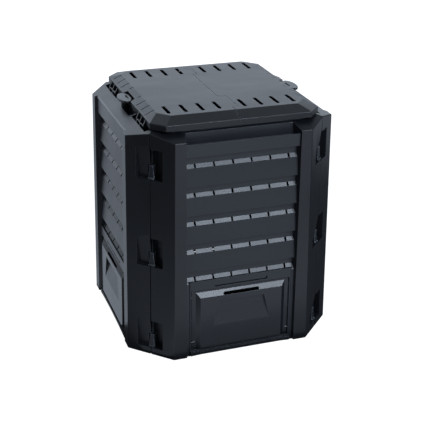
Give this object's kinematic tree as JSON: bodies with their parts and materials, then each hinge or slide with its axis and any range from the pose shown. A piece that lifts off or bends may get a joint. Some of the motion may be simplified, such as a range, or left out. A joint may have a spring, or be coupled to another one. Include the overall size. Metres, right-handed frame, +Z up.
{
  "type": "compost bin",
  "caption": "Square garden compost bin with cut corners, slotted moulded panels, a flap door in each side and a two-part hinged lid.",
  "frame": {"origin": "centre of the base on the ground", "axes": "+Z up, the front panel faces -Y, the lid opens about its right (+X) side"},
  "size_m": [0.719, 0.719, 0.812],
  "materials": {
    "panels": "black moulded polypropylene, fine satin grain",
    "doors": "black moulded polypropylene, slightly glossier",
    "clips": "black moulded polypropylene",
    "lid": "black moulded polypropylene, fine satin grain",
    "latches": "black moulded polypropylene"
  },
  "bodies": {
    "bin": {"wall_front": "panels", "wall_right": "panels", "wall_back": "panels", "wall_left": "panels", "clip_front_left_bottom": "clips", "clip_front_left_middle": "clips", "clip_front_left_top": "clips", "clip_front_right_bottom": "clips", "clip_front_right_middle": "clips", "clip_front_right_top": "clips", "clip_back_right_bottom": "clips", "clip_back_right_middle": "clips", "clip_back_right_top": "clips", "clip_back_left_bottom": "clips", "clip_back_left_middle": "clips", "clip_back_left_top": "clips"},
    "door_front": {"door_front": "doors"},
    "door_right": {"door_right": "doors"},
    "door_back": {"door_back": "doors"},
    "door_left": {"door_left": "doors"},
    "lid": {"lid_left": "lid", "lid_right": "lid"},
    "latch_left": {"latch_left": "latches"},
    "latch_right": {"latch_right": "latches"}
  },
  "joints": [
    {"name": "door_front_flap", "type": "hinge", "parent": "bin", "child": "door_front", "pos_m": [0, -0.34239, 0.04578], "axis": [1, 0, 0], "range_deg": [0, 95]},
    {"name": "door_right_flap", "type": "hinge", "parent": "bin", "child": "door_right", "pos_m": [0.34239, 0, 0.04578], "axis": [0, 1, 0], "range_deg": [0, 95]},
    {"name": "door_back_flap", "type": "hinge", "parent": "bin", "child": "door_back", "pos_m": [0, 0.34239, 0.04578], "axis": [-1, 0, 0], "range_deg": [0, 95]},
    {"name": "door_left_flap", "type": "hinge", "parent": "bin", "child": "door_left", "pos_m": [-0.34239, 0, 0.04578], "axis": [0, -1, 0], "range_deg": [0, 95]},
    {"name": "lid_hinge", "type": "hinge", "parent": "bin", "child": "lid", "pos_m": [0.287, 0, 0.771], "axis": [0, 1, 0], "range_deg": [0, 100]},
    {"name": "latch_left_turn", "type": "hinge", "parent": "bin", "child": "latch_left", "pos_m": [-0.289, 0.012, 0.79], "axis": [0, 0, -1], "range_deg": [-90, 0]},
    {"name": "latch_right_turn", "type": "hinge", "parent": "bin", "child": "latch_right", "pos_m": [0.289, -0.012, 0.79], "axis": [0, 0, -1], "range_deg": [-90, 0]}
  ]
}
